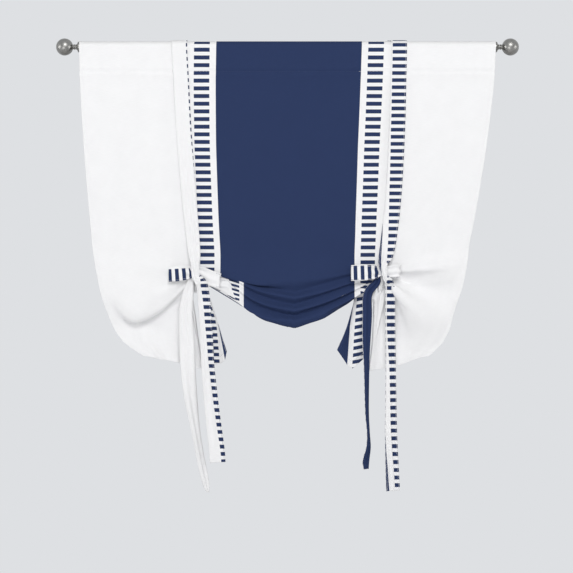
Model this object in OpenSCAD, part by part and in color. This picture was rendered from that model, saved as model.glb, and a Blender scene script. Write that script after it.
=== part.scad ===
// Tie-up roman shade hung from a telescopic pole.
// A flat cloth panel with a rod pocket hangs from the pole. Its lower edge is drawn up by two pairs
// of cloth ties, each knotted in a bow, so it falls in a centre swag, two side lobes and loose tails.
// X runs along the pole, Y points at the wall, Z is up. The origin is on the wall, midway between the
// four screw holes of the two brackets.

/* [Panel] */
// Finished width of the cloth panel
panel_w = 1168; // [1000:1:1300]
// Depth of the rod pocket, from the top edge to its seam
pocket_depth = 98; // [80:1:130]
// Thickness of the cloth
cloth_t = 1; // [0.6:0.1:1.6]
// Clear space in the pocket in front of the bracket's hook
pocket_ease = 2.2; // [2:0.1:6]
// Clear space between the pole and the cloth that passes over it
pole_ease = 0.8; // [0.7:0.1:2]

/* [Gather] */
// Drop from the pole axis to where the folds start
gather_drop = 590; // [480:1:700]
// Height of the cloth pinched into each knot
pinch_h = 86; // [70:1:110]
// Drop of the centre swag below the start of the folds
swag_h = 196; // [150:1:260]
// Drop of the side lobes and loose tails below the start of the folds
tail_h = 294; // [240:1:360]
// How far the fullest fold stands in front of the hanging cloth
fold_depth = 24; // [12:0.5:36]
// Depth of the upright pleats in the loose tails
pleat_depth = 7; // [2:0.5:10]

/* [Ties] */
// Distance between the two ties at the top edge
tie_top_pitch = 606; // [500:1:700]
// Distance between the two knots
knot_pitch = 520; // [440:1:600]
// Width of a tie
tie_w = 44; // [30:1:60]
// Thickness of a tie, which is folded and sewn double
tie_t = 1.4; // [0.8:0.1:2.4]
// Free length of each hanging tie end below the knot
tie_tail = 610; // [300:1:700]
// Gap between a tie and the cloth that it lies on
tie_gap = 0.4; // [0.3:0.1:1]

/* [Pole] */
// Distance from the wall to the pole axis
projection = 76; // [65:1:110]
// Height of the pole axis above the middle of the wall plates
pole_rise = 30; // [20:1:40]
// Outer diameter of the outer tube
outer_d = 28; // [24:0.5:32]
// Wall thickness of both tubes
tube_wall = 1; // [0.8:0.1:1.2]
// Radial clearance between the two tubes
slide_gap = 0.3; // [0.25:0.05:0.5]
// Length of the inner tube
inner_len = 900; // [700:10:1000]
// Clear length of pole past each edge of the panel
pole_margin = 2; // [1:0.5:12]
// Length of inner tube that shows beside the finial when the pole is closed
reveal = 3; // [1:0.5:8]

/* [Finials] */
// Diameter of the finial ball
ball_d = 48; // [36:1:60]
// Diameter of the flared foot of the finial
foot_d = 30; // [28.5:0.5:36]
// Diameter of the neck between foot and ball
neck_d = 15; // [12:0.5:20]
// Distance from the foot face to the ball centre
ball_reach = 40; // [36:0.5:52]
// Diameter of the stud that holds the finial
stud_d = 6; // [5:0.5:8]
// Length of the stud
stud_len = 36; // [26:1:40]
// Length of the plug in each tube end
plug_len = 25; // [20:1:40]

/* [Brackets] */
// Width of the bracket strip
strip_w = 20; // [14:1:24]
// Thickness of the bracket strip
strip_t = 3; // [2:0.5:3.5]
// Height of the wall plate
plate_h = 76; // [70:1:100]
// Distance between the two screw holes of a wall plate
hole_pitch = 56; // [50:1:60]
// Diameter of a screw hole
hole_d = 4.5; // [4:0.1:5.5]
// Height of the hook's lip above the pole axis
lip_h = 3; // [1:0.5:4]
// Diameter of the clamp screw's shank
screw_d = 5; // [4:0.5:6]
// Diameter of the clamp screw's head
screw_head_d = 12; // [9:0.5:14]
// Height of the clamp screw's head
screw_head_h = 5; // [4:0.5:8]

/* [Hidden] */

$fn = 64;
overrun = 1;
LEFT = -1;
RIGHT = 1;
white = "whitesmoke";
nickel = "silver";

// Clearances of the small fits
plug_gap = 0.1;
stud_gap = 0.1;
cup_gap = 0.3;
screw_gap = 0.1;
seam_gap = 0.4;

// Pole and pocket positions that other pieces share
half_w = panel_w / 2;
pole_half = half_w + pole_margin;
outer_r = outer_d / 2;
inner_r = outer_r - tube_wall - slide_gap;
cup_r = outer_r + cup_gap;
hook_r = cup_r + strip_t;
pocket_half = hook_r + pocket_ease;
pocket_rise = outer_r + pole_ease + cloth_t / 2;
pole_y = -projection;
hang_y = pole_y - pocket_half;
seam_drop = pocket_depth - pocket_rise;
bracket_inset = 14;
bracket_x = half_w - bracket_inset;
turn_clearance = 7;
turn_half = bracket_x - strip_w / 2 - turn_clearance;

// Section and revolve details of the finial and bracket
foot_rim_share = 0.16;

// Key rows of the folds, from their start down to the hem. Each depth is a share of fold_depth.
// Each drop is a share of the height that the column's name gives.
// Centre swag: four soft rolls, then a turn under and up behind, as shares of swag_h
centre_depth_shares = [0, 0.55, 0.1, 0.7, 0.22, 0.85, 0.3, 0.95, 0.4, -0.35, -0.5];
centre_drop_shares = [0, 0.33, 0.49, 0.57, 0.67, 0.75, 0.83, 0.91, 1, 0.88, 0.5];
// Knot: the same rows pinched together, as shares of pinch_h
knot_depth_shares = [0.08, 0.16, 0.04, 0.16, 0.04, 0.16, 0.04, 0.16, 0, -0.15, -0.3];
knot_drop_shares = [0, 0.26, 0.34, 0.42, 0.5, 0.58, 0.66, 0.74, 0.83, 0.76, 0.6];
// Loose tail beside the knot: the last three rows hang free, as shares of tail_h
tail_depth_shares = [0.05, 0.08, 0.12];
tail_drop_shares = [0.38, 0.68, 1];
// Slot in the hem at the knot, where the back tie comes through, as shares of pinch_h
slot_depth_shares = [0, -0.05, -0.05];
slot_drop_shares = [0.83, 0.9, 0.96];
// Left lobe: a full pouf over a lower layer, as shares of tail_h
left_lobe_depth_shares = [0.1, 0.5, 0.78, 0.96, 1, 0.75, 0.3, -0.1, -0.3, -0.2, 0];
left_lobe_drop_shares = [0, 0.17, 0.31, 0.44, 0.56, 0.64, 0.655, 0.6, 0.57, 0.74, 0.97];
// Right lobe: one soft layer with slanting folds, as shares of tail_h
right_lobe_depth_shares = [0.1, 0.45, 0.2, 0.6, 0.5, 0.7, 0.55, 0.35, 0.2, 0.1, 0];
right_lobe_drop_shares = [0, 0.1, 0.21, 0.33, 0.44, 0.54, 0.63, 0.72, 0.83, 0.94, 1.03];
// Side edge, as shares of tail_h
edge_depth_shares = [0, 0.15, 0.3, 0.4, 0.4, 0.35, 0.25, 0.15, 0.08, 0, 0];
edge_drop_shares = [-0.1, 0, 0.1, 0.2, 0.31, 0.4, 0.49, 0.585, 0.67, 0.8, 0.945];
// Width that is left between knot and side edge at each row, as shares of the flat width there
left_spread_shares = [0.95, 0.935, 0.92, 0.9, 0.88, 0.855, 0.825, 0.79, 0.755, 0.67, 0.47];
right_spread_shares = [0.825, 0.815, 0.8, 0.78, 0.755, 0.725, 0.695, 0.67, 0.65, 0.59, 0.45];
// Rows of the flat cloth above the folds, as shares of the drop to the folds
upper_shares = [0, 0.14, 0.32, 0.52, 0.72, 0.88];

// Where the knots sit in the flat cloth, and how far the loose tails reach from them
knot_x = knot_pitch / 2;
draw_in_share = 0.92;
knot_flat = knot_x / draw_in_share;
knot_drop = gather_drop + pinch_h / 2;
slot_half = 12;
slot_spread_share = 0.6;
slot_blend = 8;
left_tail_reach = 84;
right_tail_reach = 126;
tail_turn = 20;
left_lean = 30;
right_lean = 18;
pleat_pitch = 72;
left_pleat_share = 1;
right_pleat_share = 0.3;
swag_power = 1.7;
pinch_power = 2.6;
left_edge_start_share = 0.62;
right_edge_start_share = 0.3;
narrow_power = 1.5;
ripple_depth = 2;
ripple_pitch = 290;

// How the ties lie on the cloth, and how far their bows stand in front of it
tie_top_x = tie_top_pitch / 2;
tie_lift = cloth_t / 2 + tie_gap + tie_t / 2;
run_lift = 4;
back_gap = 12;
bow_depth = 28;
tail_depth_share = 0.72;
run_narrow_share = 0.8;
right_aside_share = 0.18;

// Mesh of the cloth: columns across, and steps between key rows
lobe_columns = 10;
slot_columns = 5;
tail_columns = 3;
turn_columns = 3;
swag_columns = 10;
upper_steps = 1;
fold_steps = 3;
wrap_steps = 6;
turn_steps = 3;

function mix(a, b, t) = a + (b - a) * t;
function clamp01(t) = max(0, min(1, t));
function ease(t) = let (c = clamp01(t)) c * c * (3 - 2 * c);
function side_of(a) = a < 0 ? LEFT : RIGHT;
function last(list) = list[len(list) - 1];

// A smooth curve through p1 and p2, with p0 and p3 as their outer neighbours
function spline(p0, p1, p2, p3, t) =
    p1 * (1 - t) * (1 + t - 1.5 * t * t) + p2 * t * (0.5 + 2 * t - 1.5 * t * t)
    - (p0 * t * (1 - t) * (1 - t) + p3 * t * t * (1 - t)) / 2;
function spline_at(keys, i, t) =
    let (n = len(keys) - 1)
    spline(keys[max(0, i - 1)], keys[i], keys[min(n, i + 1)], keys[min(n, i + 2)], t);
function spline_through(keys, steps) =
    [for (i = [0:len(keys) - 2]) for (j = [0:steps - 1]) spline_at(keys, i, j / steps), last(keys)];

// Hanging shape of the cloth. Each key is [x, depth in front of the hanging plane, drop below the pole].

// The row's sideways place: flat_x is its place in the flat cloth, row its key row
function fold_x(flat_x, row) =
    let (
        side = side_of(flat_x),
        past = abs(flat_x) - knot_flat,
        spreads = side == LEFT ? left_spread_shares : right_spread_shares,
        out = past > 0 ? knot_x + past * spreads[row] : abs(flat_x) * draw_in_share
    )
    side * out;

// Shares of knot, lobe and edge in a column that lies beyond the knot
function lobe_weights(flat_x) =
    let (
        r = clamp01((abs(flat_x) - knot_flat) / (half_w - knot_flat)),
        edge_start = flat_x < 0 ? left_edge_start_share : right_edge_start_share,
        knot = pow(1 - r, pinch_power),
        edge = ease((r - edge_start) / (1 - edge_start))
    )
    [knot, 1 - knot - edge, edge];

function centre_key(row) = [centre_depth_shares[row] * fold_depth, centre_drop_shares[row] * swag_h];
function knot_key(row) = [knot_depth_shares[row] * fold_depth, knot_drop_shares[row] * pinch_h];
function edge_key(row) = [edge_depth_shares[row] * fold_depth, edge_drop_shares[row] * tail_h];
function lobe_key(side, row) = side == LEFT
    ? [left_lobe_depth_shares[row] * fold_depth, left_lobe_drop_shares[row] * tail_h]
    : [right_lobe_depth_shares[row] * fold_depth, right_lobe_drop_shares[row] * tail_h];

first_tail_row = len(centre_drop_shares) - len(tail_drop_shares);
function tail_key(row) = row < first_tail_row
    ? knot_key(row)
    : let (i = row - first_tail_row) [tail_depth_shares[i] * fold_depth, tail_drop_shares[i] * tail_h];
function slot_key(row) = row < first_tail_row
    ? knot_key(row)
    : let (i = row - first_tail_row) [slot_depth_shares[i] * fold_depth, slot_drop_shares[i] * pinch_h];

// How much of a column hangs as a loose tail, and how much of it is the slot at the knot
function tail_amount(flat_x) =
    let (
        inside = knot_flat - abs(flat_x),
        reach = flat_x < 0 ? left_tail_reach : right_tail_reach
    )
    inside < 0 ? lobe_weights(flat_x)[0] : 1 - ease((inside - reach) / tail_turn);
function slot_amount(flat_x) =
    let (past = abs(flat_x) - knot_flat)
    1 - ease(((past > 0 ? past * slot_spread_share : -past) - slot_half) / slot_blend);

function column_key(flat_x, row) =
    let (
        side = side_of(flat_x),
        w = lobe_weights(flat_x),
        swag = pow(clamp01(abs(flat_x) / knot_flat), swag_power),
        hung = abs(flat_x) > knot_flat
            ? tail_key(row) * w[0] + lobe_key(side, row) * w[1] + edge_key(row) * w[2]
            : mix(
                mix(centre_key(row), knot_key(row), swag), tail_key(row),
                row < first_tail_row ? 0 : tail_amount(flat_x)
            )
    )
    mix(hung, slot_key(row), row < first_tail_row ? 0 : slot_amount(flat_x));

// Upright pleats in the loose tails, which open towards the hem
function pleat(flat_x, row) =
    let (
        fall = max(0, row - first_tail_row + 1) / len(tail_drop_shares),
        lobe = lobe_weights(flat_x)[1] * (flat_x < 0 ? left_pleat_share : right_pleat_share),
        amount = max(tail_amount(flat_x), lobe)
    )
    pleat_depth * fall * amount * (1 - slot_amount(flat_x)) * sin(360 * flat_x / pleat_pitch);

// Loose tails lean sideways below the knot
function lean(flat_x, row) =
    let (fall = max(0, row - first_tail_row + 1) / len(tail_drop_shares))
    tail_amount(flat_x) * (1 - slot_amount(flat_x)) * fall * fall * (flat_x < 0 ? left_lean : right_lean);

function ripple(flat_x, share) = ripple_depth * share * (1 + sin(360 * flat_x / ripple_pitch)) / 2;

function fold_key(flat_x, row) =
    let (k = column_key(flat_x, row))
    [
        fold_x(flat_x, row) + lean(flat_x, row),
        k[0] + pleat(flat_x, row) + ripple(flat_x, 1),
        gather_drop + k[1]
    ];
function fold_keys(flat_x) = [for (row = [0:len(centre_drop_shares) - 1]) fold_key(flat_x, row)];
function upper_key(flat_x, share) =
    let (k = fold_key(flat_x, 0))
    [
        mix(flat_x, k[0], pow(share, narrow_power)),
        (k[1] - ripple(flat_x, 1)) * pow(share, 3) + ripple(flat_x, share),
        k[2] * share
    ];
function upper_keys(flat_x) = [for (share = upper_shares) upper_key(flat_x, share)];

function hang_point(key) = [key[0], hang_y - key[1], pole_rise - key[2]];

// The turned-over back of the pocket: up from its seam, then over the pole to the front
function turn_point(flat_x, t) = [
    flat_x * turn_half / half_w,
    mix(hang_y + cloth_t + seam_gap, pole_y + pocket_half, sin(90 * t)),
    pole_rise - seam_drop * (1 - t)
];
function wrap_point(flat_x, t) = [
    flat_x * mix(turn_half / half_w, 1, ease(2 * t)),
    pole_y + pocket_half * cos(180 * t),
    pole_rise + pocket_rise * sin(180 * t)
];

function cloth_column(flat_x) =
    let (
        keys = concat(upper_keys(flat_x), fold_keys(flat_x)),
        upper_count = len(upper_shares)
    )
    concat(
        [for (i = [0:turn_steps - 1]) turn_point(flat_x, i / turn_steps)],
        [for (i = [0:wrap_steps - 1]) wrap_point(flat_x, i / wrap_steps)],
        [
            for (i = [0:len(keys) - 2])
                let (steps = i < upper_count ? upper_steps : fold_steps)
                for (j = [0:steps - 1]) hang_point(spline_at(keys, i, j / steps))
        ],
        [hang_point(last(keys))]
    );

// Places of the columns across the flat cloth, closer together at the knots, where it changes fastest
function steps_between(a, b, count) = [for (i = [0:count - 1]) mix(a, b, i / count)];
function side_places(reach) =
    let (
        slot_edge = slot_half + slot_blend,
        lobe_start = knot_flat + slot_edge / slot_spread_share,
        turn = knot_flat - reach
    )
    concat(
        steps_between(half_w, lobe_start, lobe_columns),
        steps_between(lobe_start, knot_flat - slot_edge, slot_columns),
        steps_between(knot_flat - slot_edge, turn, tail_columns),
        steps_between(turn, turn - tail_turn, turn_columns)
    );
function column_places() =
    let (
        left = side_places(left_tail_reach),
        right = side_places(right_tail_reach),
        left_end = knot_flat - left_tail_reach - tail_turn,
        right_end = knot_flat - right_tail_reach - tail_turn
    )
    concat(
        [for (x = left) -x],
        steps_between(-left_end, right_end, swag_columns),
        [right_end],
        [for (i = [len(right) - 1:-1:0]) right[i]]
    );

// A grid of points made a closed sheet of even thickness
function grid_normal(grid, i, j) =
    let (
        m = len(grid) - 1,
        n = len(grid[0]) - 1,
        across = grid[min(m, i + 1)][j] - grid[max(0, i - 1)][j],
        down = grid[i][min(n, j + 1)] - grid[i][max(0, j - 1)],
        c = cross(across, down)
    )
    c / norm(c);
module sheet(grid, thickness) {
    m = len(grid);
    n = len(grid[0]);
    count = m * n;
    offsets = [for (i = [0:m - 1]) for (j = [0:n - 1]) grid_normal(grid, i, j) * thickness / 2];
    flat = [for (column = grid) each column];
    function at(i, j) = i * n + j;
    front = [
        for (i = [0:m - 2]) for (j = [0:n - 2]) each [
            [at(i, j), at(i + 1, j + 1), at(i, j + 1)],
            [at(i, j), at(i + 1, j), at(i + 1, j + 1)]
        ]
    ];
    back = [for (f = front) [f[2] + count, f[1] + count, f[0] + count]];
    rim = concat(
        [for (i = [0:m - 2]) at(i, 0)],
        [for (j = [0:n - 2]) at(m - 1, j)],
        [for (i = [m - 1:-1:1]) at(i, n - 1)],
        [for (j = [n - 1:-1:1]) at(0, j)]
    );
    k = len(rim);
    edge = [
        for (i = [0:k - 1]) let (a = rim[i], b = rim[(i + 1) % k]) each [
            [a, b + count, b],
            [a, a + count, b + count]
        ]
    ];
    polyhedron(
        points = concat(flat - offsets, flat + offsets),
        faces = concat(front, back, edge),
        convexity = 10
    );
}

module shade_panel() {
    color(white)
        sheet([for (x = column_places()) cloth_column(x)], cloth_t);
}

module outer_tube() {
    color(nickel)
        translate([-pole_half, pole_y, pole_rise])
            rotate([0, 90, 0])
                tube(outer_r, 2 * pole_half - reveal);
}
module inner_tube() {
    color(nickel)
        translate([pole_half - inner_len, pole_y, pole_rise])
            rotate([0, 90, 0])
                tube(inner_r, inner_len);
}
module tube(r, length) {
    difference() {
        cylinder(r = r, h = length);
        translate([0, 0, -overrun])
            cylinder(r = r - tube_wall, h = length + 2 * overrun);
    }
}

// Places a turned piece on the pole's end, with its Z pointing out along the pole
module on_end(side) {
    translate([side * pole_half, pole_y, pole_rise])
        rotate([0, side * 90, 0])
            children();
}
module end_plug(side) {
    bore_r = (side == LEFT ? outer_r : inner_r) - tube_wall;
    color("dimgray")
        on_end(side)
            translate([0, 0, -plug_len])
                difference() {
                    cylinder(r = bore_r - plug_gap, h = plug_len);
                    translate([0, 0, -overrun])
                        cylinder(d = stud_d + 2 * stud_gap, h = plug_len + 2 * overrun);
                }
}
module finial_stud(side) {
    color("gray")
        on_end(side)
            translate([0, 0, -stud_len / 2])
                cylinder(d = stud_d, h = stud_len);
}
// Half section of the finial: a flared foot, a neck and a ball
module finial_section() {
    foot_r = foot_d / 2;
    neck_r = neck_d / 2;
    rim_h = foot_rim_share * foot_r;
    flare_r = foot_r - neck_r + rim_h;
    difference() {
        union() {
            square([foot_r, rim_h + flare_r]);
            square([neck_r, ball_reach]);
        }
        translate([neck_r + flare_r, rim_h + flare_r])
            circle(r = flare_r);
    }
    intersection() {
        translate([0, ball_reach])
            circle(d = ball_d);
        translate([0, ball_reach - ball_d])
            square([ball_d, 2 * ball_d]);
    }
}
module finial(side) {
    color(nickel)
        on_end(side)
            difference() {
                rotate_extrude()
                    finial_section();
                translate([0, 0, -overrun])
                    cylinder(d = stud_d + 2 * stud_gap, h = stud_len / 2 + overrun + stud_gap);
            }
}

// Side view of the bracket: wall plate, arm under the pole, and a hook in front with a lip
module bracket_section() {
    translate([-strip_t, -plate_h / 2])
        square([strip_t, plate_h]);
    translate([pole_y, pole_rise - hook_r])
        square([projection - strip_t / 2, strip_t]);
    intersection() {
        translate([pole_y, pole_rise])
            difference() {
                circle(r = hook_r);
                circle(r = cup_r);
            }
        translate([pole_y - hook_r, pole_rise - hook_r])
            square([hook_r, hook_r]);
    }
    translate([pole_y - hook_r, pole_rise])
        square([strip_t, lip_h]);
}
module bracket(side) {
    color(nickel)
        difference() {
            translate([side * bracket_x - strip_w / 2, 0, 0])
                rotate([90, 0, 90])
                    linear_extrude(height = strip_w)
                        bracket_section();
            for (end = [-1, 1])
                translate([side * bracket_x, overrun, end * hole_pitch / 2])
                    rotate([90, 0, 0])
                        cylinder(d = hole_d, h = strip_t + 2 * overrun);
            translate([side * bracket_x, pole_y, pole_rise - hook_r - overrun])
                cylinder(d = screw_d + 2 * screw_gap, h = strip_t + 2 * overrun);
        }
}
module clamp_screw(side) {
    color("gray")
        translate([side * bracket_x, pole_y, pole_rise - hook_r - screw_head_h]) {
            cylinder(d = screw_head_d, h = screw_head_h);
            cylinder(d = screw_d, h = screw_head_h + strip_t + cup_gap - screw_gap);
        }
}

// Ties. A key is [x, y, z, half width, and the direction of the width], and a ribbon follows the keys.
function unit(v) = v / norm(v);
function place_of(key) = [key[0], key[1], key[2]];
function ribbon_ring(frames, i) =
    let (
        f = frames[i],
        tangent = place_of(frames[min(len(frames) - 1, i + 1)]) - place_of(frames[max(0, i - 1)]),
        out = unit(cross(tangent, [f[4], f[5], f[6]])),
        w = unit(cross(out, tangent)) * f[3],
        t = out * tie_t / 2,
        c = place_of(f)
    )
    [c - w - t, c + w - t, c + w + t, c - w + t];
module ribbon(keys) {
    frames = spline_through(keys, ribbon_steps);
    n = len(frames);
    corners = 4;
    rings = [for (i = [0:n - 1]) each ribbon_ring(frames, i)];
    sides = [
        for (i = [0:n - 2]) for (j = [0:corners - 1])
            let (a = corners * i + j, b = corners * i + (j + 1) % corners)
            each [[a, a + corners, b + corners], [a, b + corners, b]]
    ];
    far = corners * (n - 1);
    polyhedron(
        points = rings,
        faces = concat([[0, 1, 2], [0, 2, 3]], sides, [[far + 2, far + 1, far], [far + 3, far + 2, far]]),
        convexity = 10
    );
}

// Over the top of the pocket and down to the pole axis, in front (way -1) or behind (way 1)
function tie_wrap(side, way) = [
    for (share = wrap_shares)
        [
            side * tie_top_x,
            pole_y + way * (pocket_half + tie_lift) * sin(90 * share),
            pole_rise + (pocket_rise + tie_lift) * cos(90 * share),
            tie_w / 2,
            1, 0, 0
        ]
];
// The right front tie is knotted a little aside of its back tie
function front_aside_share(side) = side == LEFT ? 0 : right_aside_share;
// Down the cloth to just above the knot
function tie_run(side, way) = [
    for (share = run_shares)
        [
            mix(side * tie_top_x, side * knot_x + (way < 0 ? front_aside_share(side) * tie_w : 0), share),
            way < 0
                ? hang_y - tie_lift - (ripple_depth + run_lift) * share
                : mix(pole_y + pocket_half + tie_lift, hang_y + back_gap, share),
            pole_rise - share * (knot_drop - pinch_h / 2),
            mix(tie_w, tie_w * run_narrow_share, share * share * share) / 2,
            1, 0, 0
        ]
];
// A key near the knot or in a tail: x, drop and half width are shares of tie_w, depth of bow_depth
function bow_key(side, x_share, depth_share, drop_share, width_share, across) = [
    side * knot_x + x_share * tie_w,
    hang_y - depth_share * bow_depth,
    pole_rise - knot_drop - drop_share * tie_w,
    width_share * tie_w / 2,
    across[0], across[1], across[2]
];
function bow_keys(side, table, aside = 0) =
    [for (k = table) bow_key(side, k[0] + aside, k[1], k[2], k[3], k[4])];
// A hanging end: x is a share of tie_w, drop a share of tie_tail, turn an angle about the upright
function tail_keys(side, table) = [
    for (k = table)
        [
            side * knot_x + k[0] * tie_w,
            hang_y - tail_depth_share * bow_depth,
            pole_rise - knot_drop - k[1] * tie_tail,
            k[2] * tie_w / 2,
            cos(k[3]), sin(k[3]), 0
        ]
];

ribbon_steps = 2;
wrap_shares = [0.02, 0.33, 0.67];
run_shares = [0, 0.02, 0.06, 0.16, 0.4, 0.7, 0.9];

// Directions of a tie's width: along the pole, upright, and the two turns between them in the knot
LEVEL = [1, 0, 0];
UPRIGHT = [0, 0, 1];
RISING = [1, 0, 1];
FALLING = [-1, 0, 1];

// Front ties: over the knot, then the tail. Columns are x, depth, drop, half width, width direction.
front_knot_shares = [
    [0.02, 0.55, -1, 0.72, LEVEL], [0.05, 1, -0.5, 0.52, LEVEL], [0.1, 1.02, 0.25, 0.45, LEVEL],
    [0.3, 1, 0.6, 0.5, LEVEL]
];
// Columns of a tail are x, drop, half width and turn
left_front_tail_shares = [
    [0.4, 0.08, 0.5, 0], [0.6, 0.135, 0.74, 0], [0.72, 0.23, 0.78, 3], [0.8, 0.34, 0.8, 5],
    [0.87, 0.44, 0.82, 5], [1.14, 0.64, 0.92, 5], [1.42, 0.81, 1, 8], [1.48, 0.87, 1, 8]
];
right_front_tail_shares = [
    [0.5, 0.06, 0.55, 0], [0.58, 0.12, 0.62, 10], [0.6, 0.25, 0.64, 15], [0.63, 0.43, 0.66, 15],
    [0.645, 0.72, 0.78, 15], [0.72, 0.9, 0.86, 12], [0.78, 1, 0.88, 10]
];
// Back ties: forward under the gathered cloth, up to the knot, two loops, then the tail
under_shares = [
    [0, -0.42, -0.2, 0.6, LEVEL], [0, -0.42, 0.5, 0.42, LEVEL], [0, -0.36, 1, 0.36, LEVEL],
    [0, -0.1, 1.28, 0.28, LEVEL], [0, 0.2, 1.1, 0.28, LEVEL],
    [0.02, 0.32, 0.6, 0.34, LEVEL], [0, 0.34, 0.15, 0.34, RISING]
];
// One loop, out and back: reach, tilt and wide are its end, first and last its depths beside the knot
function loop_shares(reach, tilt, wide, way, first, last) =
    let (
        outer_first = first + loop_lift_share,
        outer_last = last + loop_lift_share
    )
    [
        [way * 0.3, first, 0, 0.8 * wide, UPRIGHT],
        [way * 0.6 * reach, mix(first, outer_first, 0.6), 0.6 * tilt, wide, UPRIGHT],
        [way * 0.93 * reach, mix(outer_first, outer_last, 0.15), 0.93 * tilt, wide, UPRIGHT],
        [way * reach, mix(outer_first, outer_last, 0.5), tilt, wide, UPRIGHT],
        [way * 0.93 * reach, mix(outer_first, outer_last, 0.85), 0.93 * tilt, wide, UPRIGHT],
        [way * 0.6 * reach, mix(last, outer_last, 0.6), 0.6 * tilt, wide, UPRIGHT],
        [way * 0.3, last, 0, 0.8 * wide, UPRIGHT]
    ];
// Between the loops the tie passes through the knot, and after them it turns down into the tail
between_shares = [[0, 0.68, 0, 0.5, UPRIGHT]];
drop_shares = [
    [0, 0.46, 0.06, 0.36, UPRIGHT], [-0.2, 0.5, 0.28, 0.36, FALLING], [-0.26, 0.62, 0.65, 0.45, -LEVEL]
];
// The ends of each bow's two loops: columns are reach, tilt and width
left_loop_end_shares = [[1.6, 0.1, 1], [1.6, 0.55, 0.95]];
right_loop_end_shares = [[1.86, 0.05, 1], [1.2, -0.1, 0.78]];
loop_lift_share = 0.25;
near_depth_share = 0.36;
front_depth_share = 0.8;
back_depth_share = 0.46;
left_back_tail_shares = [
    [-0.4, 0.1, 0.7, 180], [-0.57, 0.19, 0.85, 180], [-0.6, 0.33, 0.95, 180], [-0.55, 0.45, 0.95, 195],
    [-0.45, 0.58, 0.95, 215], [-0.19, 0.72, 0.9, 235], [0.13, 0.84, 0.9, 240], [0.45, 0.95, 0.85, 230],
    [0.57, 1, 0.3, 225]
];
right_back_tail_shares = [
    [-0.8, 0.1, 0.5, 195], [-0.83, 0.2, 0.5, 210], [-0.86, 0.32, 0.5, 230], [-0.87, 0.43, 0.5, 240],
    [-0.86, 0.63, 0.55, 250], [-0.78, 0.73, 0.7, 260], [-0.76, 0.8, 0.75, 250], [-0.9, 0.86, 0.8, 238],
    [-0.9, 0.9, 0.5, 235]
];

module front_tie(side, tail_shares) {
    color(white)
        ribbon(concat(
            tie_wrap(side, -1),
            tie_run(side, -1),
            bow_keys(side, front_knot_shares, front_aside_share(side)),
            tail_keys(side, tail_shares)
        ));
}
module back_tie(side, ends, tail_shares) {
    near = near_depth_share;
    front = front_depth_share;
    back = back_depth_share;
    color(white)
        ribbon(concat(
            tie_wrap(side, 1),
            tie_run(side, 1),
            bow_keys(side, under_shares),
            bow_keys(side, loop_shares(ends[0][0], ends[0][1], ends[0][2], LEFT, near, front)),
            bow_keys(side, between_shares),
            bow_keys(side, loop_shares(ends[1][0], ends[1][1], ends[1][2], RIGHT, front, back)),
            bow_keys(side, drop_shares),
            tail_keys(side, tail_shares)
        ));
}
module left_front_tie() {
    front_tie(LEFT, left_front_tail_shares);
}
module right_front_tie() {
    front_tie(RIGHT, right_front_tail_shares);
}
module left_back_tie() {
    back_tie(LEFT, left_loop_end_shares, left_back_tail_shares);
}
module right_back_tie() {
    back_tie(RIGHT, right_loop_end_shares, right_back_tail_shares);
}

outer_tube();
inner_tube();
end_plug(LEFT);  // left_end_plug
end_plug(RIGHT);  // right_end_plug
finial_stud(LEFT);  // left_finial_stud
finial_stud(RIGHT);  // right_finial_stud
finial(LEFT);  // left_finial
finial(RIGHT);  // right_finial
bracket(LEFT);  // left_bracket
bracket(RIGHT);  // right_bracket
clamp_screw(LEFT);  // left_clamp_screw
clamp_screw(RIGHT);  // right_clamp_screw
shade_panel();
left_front_tie();
left_back_tie();
right_front_tie();
right_back_tie();
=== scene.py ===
# Tie-up roman shade: a printed cloth panel drawn up by cloth ties, on a telescopic pole with ball finials.
# Lengths are metres. X runs along the pole, Y points at the wall, Z is up.
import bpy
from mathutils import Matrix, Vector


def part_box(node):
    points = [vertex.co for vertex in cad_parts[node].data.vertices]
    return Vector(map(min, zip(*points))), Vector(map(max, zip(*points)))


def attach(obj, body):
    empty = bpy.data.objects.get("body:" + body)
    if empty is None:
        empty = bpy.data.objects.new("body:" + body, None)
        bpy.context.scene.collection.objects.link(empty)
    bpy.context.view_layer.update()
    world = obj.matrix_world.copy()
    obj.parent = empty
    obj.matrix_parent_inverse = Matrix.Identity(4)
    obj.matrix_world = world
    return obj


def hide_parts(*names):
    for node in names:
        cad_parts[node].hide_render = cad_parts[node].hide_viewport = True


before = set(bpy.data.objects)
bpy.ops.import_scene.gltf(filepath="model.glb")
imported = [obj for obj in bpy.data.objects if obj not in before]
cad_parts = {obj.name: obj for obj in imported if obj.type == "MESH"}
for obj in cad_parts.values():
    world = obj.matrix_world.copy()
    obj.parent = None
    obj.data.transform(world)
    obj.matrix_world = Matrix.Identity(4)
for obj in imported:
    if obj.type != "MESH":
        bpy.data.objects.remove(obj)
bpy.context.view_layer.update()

import math

import bpy
import numpy as np

LEFT = -1
RIGHT = 1
TURN = 2 * math.pi

# Pole, taken from the frame
tube_low, tube_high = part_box("outer_tube")
pole_y = (tube_low.y + tube_high.y) / 2
pole_z = (tube_low.z + tube_high.z) / 2

# Cloth panel
half_w = 0.584
cloth_t = 0.0009
pocket_half = 0.0195
pocket_rise = 0.0153
pocket_depth = 0.098
seam_gap = 0.0014
turn_half = 0.553
hang_y = pole_y - pocket_half
seam_drop = pocket_depth - pocket_rise
hem_w = 0.010
hem_h = 0.022
hem_t_share = 2.2
crease_t_share = 0.3

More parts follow.
